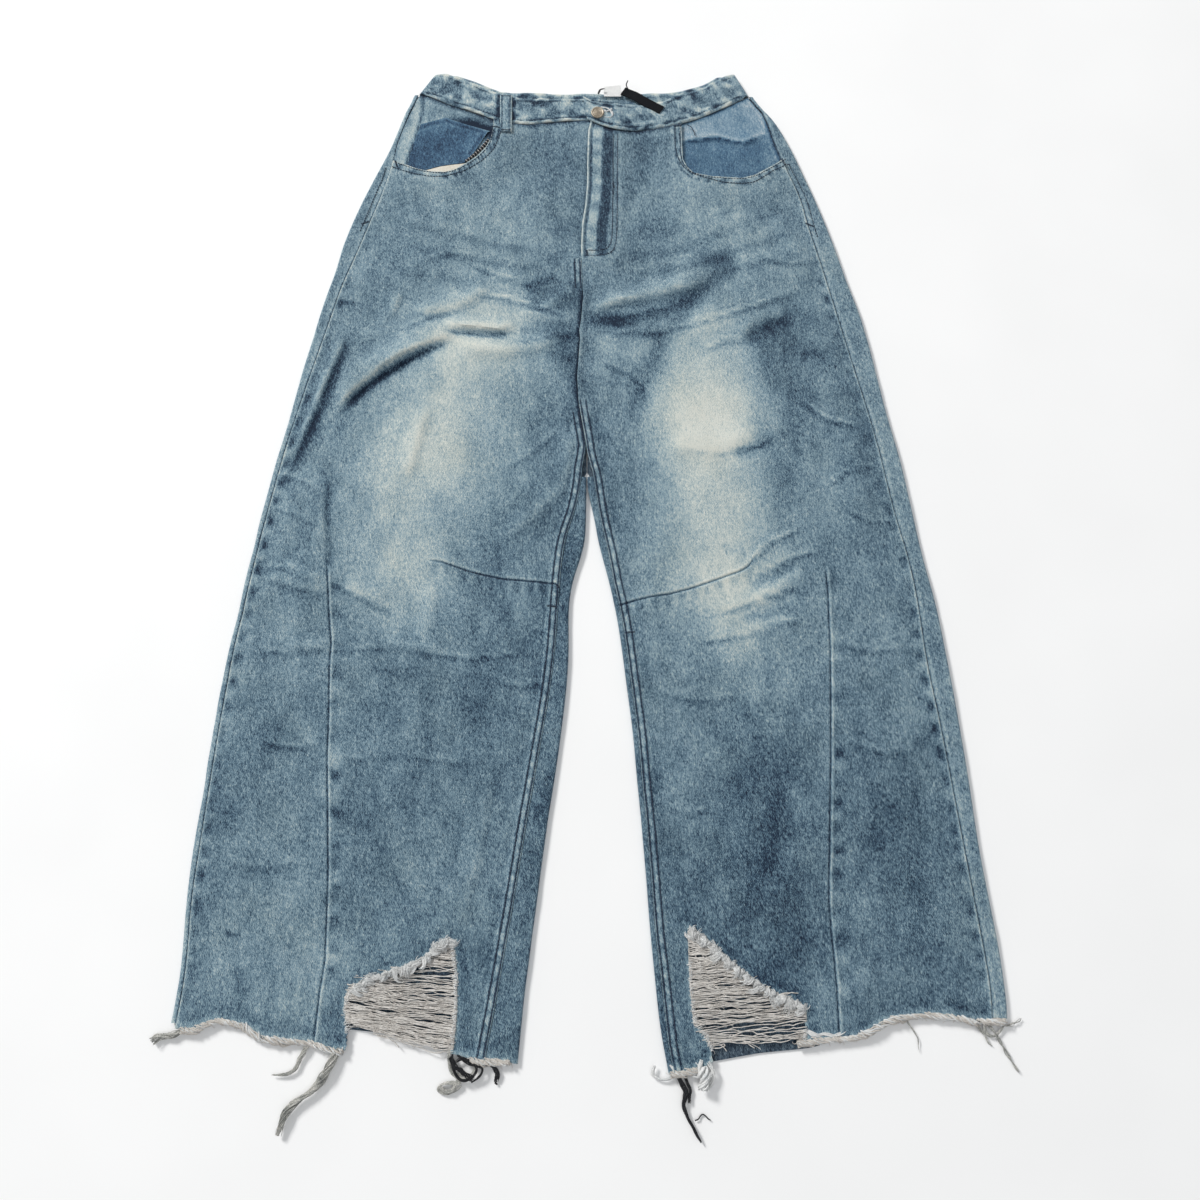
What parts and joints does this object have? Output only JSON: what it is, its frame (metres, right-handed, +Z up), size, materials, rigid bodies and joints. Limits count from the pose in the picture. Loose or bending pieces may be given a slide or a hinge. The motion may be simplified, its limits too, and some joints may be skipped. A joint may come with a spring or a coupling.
{
  "type": "ripped barrel-leg jeans",
  "caption": "Light-wash barrel-leg jeans laid flat front side up, with torn and frayed hems, scoop pockets, a button fly band and long knee darts.",
  "frame": {"origin": "bottom centre of the whole piece, on the surface it lies on", "axes": "+X to the wearer's left, +Y from the hems to the waist, +Z up out of the front"},
  "size_m": [0.786, 1.1002, 0.0129],
  "materials": {
    "denim_front": "worn light-wash twill, matt, cream fades at the thighs",
    "denim_back": "light-wash twill, matt",
    "denim_band": "mottled washed twill, matt",
    "denim_pale": "pale washed twill, matt",
    "denim_dark": "unworn mid-blue twill, matt",
    "pocket_cloth": "plain cream cotton, matt",
    "thread_white": "bare off-white weft yarn, matt",
    "thread_dark": "navy and black yarn, matt",
    "label_black": "woven tape, matt",
    "label_white": "satin tape",
    "button_metal": "aged pewter"
  },
  "bodies": {
    "root": {"front_right": "denim_front", "front_left": "denim_front", "back_right": "denim_back", "back_left": "denim_back", "yoke_right": "denim_back", "yoke_left": "denim_back", "back_pocket_right": "denim_back", "back_pocket_left": "denim_back", "pocket_facing_right": "denim_pale", "pocket_facing_left": "denim_front", "watch_pocket": "denim_dark", "pocket_bag_right": "pocket_cloth", "waistband_front_right": "denim_band", "waistband_front_left": "denim_band", "waistband_back": "denim_band", "belt_loop_front": "denim_band", "belt_loop_back_right": "denim_back", "belt_loop_back_centre": "denim_back", "belt_loop_back_left": "denim_back", "button": "button_metal", "label_black": "label_black", "label_white": "label_white", "rip_threads_right": "thread_white", "rip_threads_left": "thread_white", "hem_fringe_right_outer": "thread_white", "hem_fringe_right_inner": "thread_white", "hem_fringe_left_inner": "thread_white", "hem_fringe_left_outer": "thread_white", "tuft_right": "thread_white", "tassel_right_long": "thread_white", "tassel_right_short": "thread_white", "knot_right": "thread_dark", "curl_right": "thread_white", "tail_right": "thread_dark", "knot_left": "thread_white", "threads_black_left": "thread_dark", "thread_black_loose": "thread_dark", "thread_left_thin": "thread_white", "thread_corner_a": "thread_white", "thread_corner_b": "thread_white", "thread_corner_c": "thread_white"}
  },
  "joints": []
}
